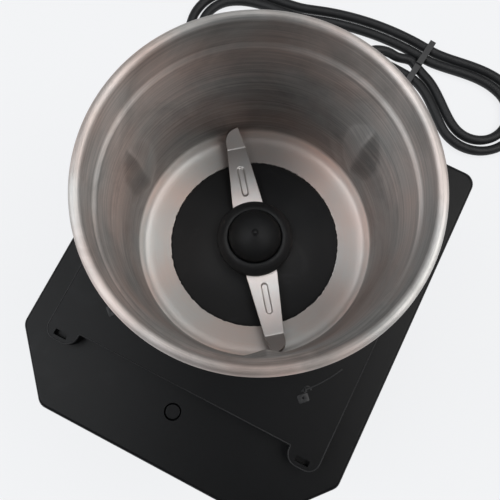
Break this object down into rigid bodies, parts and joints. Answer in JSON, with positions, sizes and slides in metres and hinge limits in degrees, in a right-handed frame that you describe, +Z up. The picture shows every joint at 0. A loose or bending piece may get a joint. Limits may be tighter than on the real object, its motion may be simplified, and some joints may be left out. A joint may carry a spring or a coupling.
{
  "type": "electric spice grinder",
  "caption": "Kitchen spice grinder: chamfered motor base with a raised deck, lift-out steel bowl with a two-arm blade, interlock plunger and a mains lead in a tied hank.",
  "frame": {"origin": "on the table, under the middle of the base's own footprint; the bowl's axis stands 10 mm behind it", "axes": "+Z up along the bowl, -Y towards the interlock plunger at the front, +X to the right seen from the front"},
  "size_m": [0.2272, 0.2901, 0.215],
  "materials": {
    "housing_plastic": "fine-textured moulded black",
    "inner_plastic": "moulded, satin",
    "hub_plastic": "moulded, satin, handled",
    "bowl_steel": "brushed round the axis",
    "blade_steel": "ground and stamped",
    "plated_steel": "zinc plated",
    "die_cast": "as cast",
    "lamination_steel": "stacked laminations",
    "copper_wire": "enamelled copper",
    "bronze": "machined",
    "carbon": "pressed carbon",
    "black_rubber": "moulded",
    "cord_pvc": "soft extruded sheath",
    "tie_plastic": "coated wire tie"
  },
  "bodies": {
    "base": {"base_shell": "housing_plastic", "deck_cover": "housing_plastic", "bottom_cover": "housing_plastic", "rubber_feet": "black_rubber", "cover_screws": "plated_steel", "field_stator": "lamination_steel", "field_coils": "copper_wire", "lower_bracket": "die_cast", "upper_bracket": "die_cast", "motor_screws": "plated_steel", "lower_bush": "bronze", "ball_bearing": "plated_steel", "motor_mounts": "black_rubber", "mount_screws": "plated_steel", "brush_holders": "bronze", "carbon_brushes": "carbon", "shaft_seal": "black_rubber", "plunger_spring": "plated_steel", "switch_bracket": "plated_steel", "bracket_screws": "plated_steel", "micro_switch": "housing_plastic", "switch_screws": "plated_steel", "lever_pin": "plated_steel", "strain_relief": "cord_pvc", "power_cord": "cord_pvc", "cord_hank": "cord_pvc", "cord_tail": "cord_pvc", "hank_tie": "tie_plastic", "plug_body": "cord_pvc", "plug_pins": "bronze"},
    "rotor": {"motor_shaft": "plated_steel", "armature_core": "lamination_steel", "armature_windings": "copper_wire", "commutator": "copper_wire", "cooling_fan": "inner_plastic", "drive_coupling": "inner_plastic"},
    "plunger": {"interlock_plunger": "inner_plastic"},
    "lever": {"switch_lever": "plated_steel"},
    "seat_ring": {"seat_ring": "black_rubber"},
    "bowl": {"bowl_cup": "bowl_steel", "bowl_base": "housing_plastic", "bearing_disc": "hub_plastic", "floor_gasket": "black_rubber", "bowl_screws": "plated_steel", "blade_bush": "bronze"},
    "blade": {"blade_shaft": "plated_steel", "blade": "blade_steel", "blade_collar": "hub_plastic", "thrust_washers": "plated_steel", "hub_ring": "hub_plastic", "hub_cap": "hub_plastic", "driven_coupling": "inner_plastic"}
  },
  "joints": [
    {"name": "motor_spin", "type": "hinge", "parent": "base", "child": "rotor", "pos_m": [0, 0.01, 0.06], "axis": [0, 0, 1], "continuous": true},
    {"name": "bowl_twist", "type": "hinge", "parent": "base", "child": "seat_ring", "pos_m": [0, 0.01, 0.109], "axis": [0, 0, 1], "range_deg": [0, 25]},
    {"name": "bowl_lift", "type": "slide", "parent": "seat_ring", "child": "bowl", "axis": [0, 0, 1], "range_m": [0, 0.06]},
    {"name": "blade_spin", "type": "hinge", "parent": "bowl", "child": "blade", "pos_m": [0, 0.01, 0.13], "axis": [0, 0, 1], "continuous": true},
    {"name": "plunger_press", "type": "slide", "parent": "base", "child": "plunger", "axis": [0, 0, -1], "range_m": [0, 0.004], "stiffness_N_per_m": 700, "springref_m": -0.003, "deforming": ["plunger_spring"]},
    {"name": "lever_turn", "type": "hinge", "parent": "base", "child": "lever", "pos_m": [-0.015, -0.0605, 0.0801], "axis": [0, 1, 0], "range_deg": [0, 15.5]}
  ],
  "couplings": [
    {"joint": "blade_spin", "follows": "motor_spin", "ratio": 1},
    {"joint": "lever_turn", "follows": "plunger_press", "rad_per_m": 66.667}
  ]
}
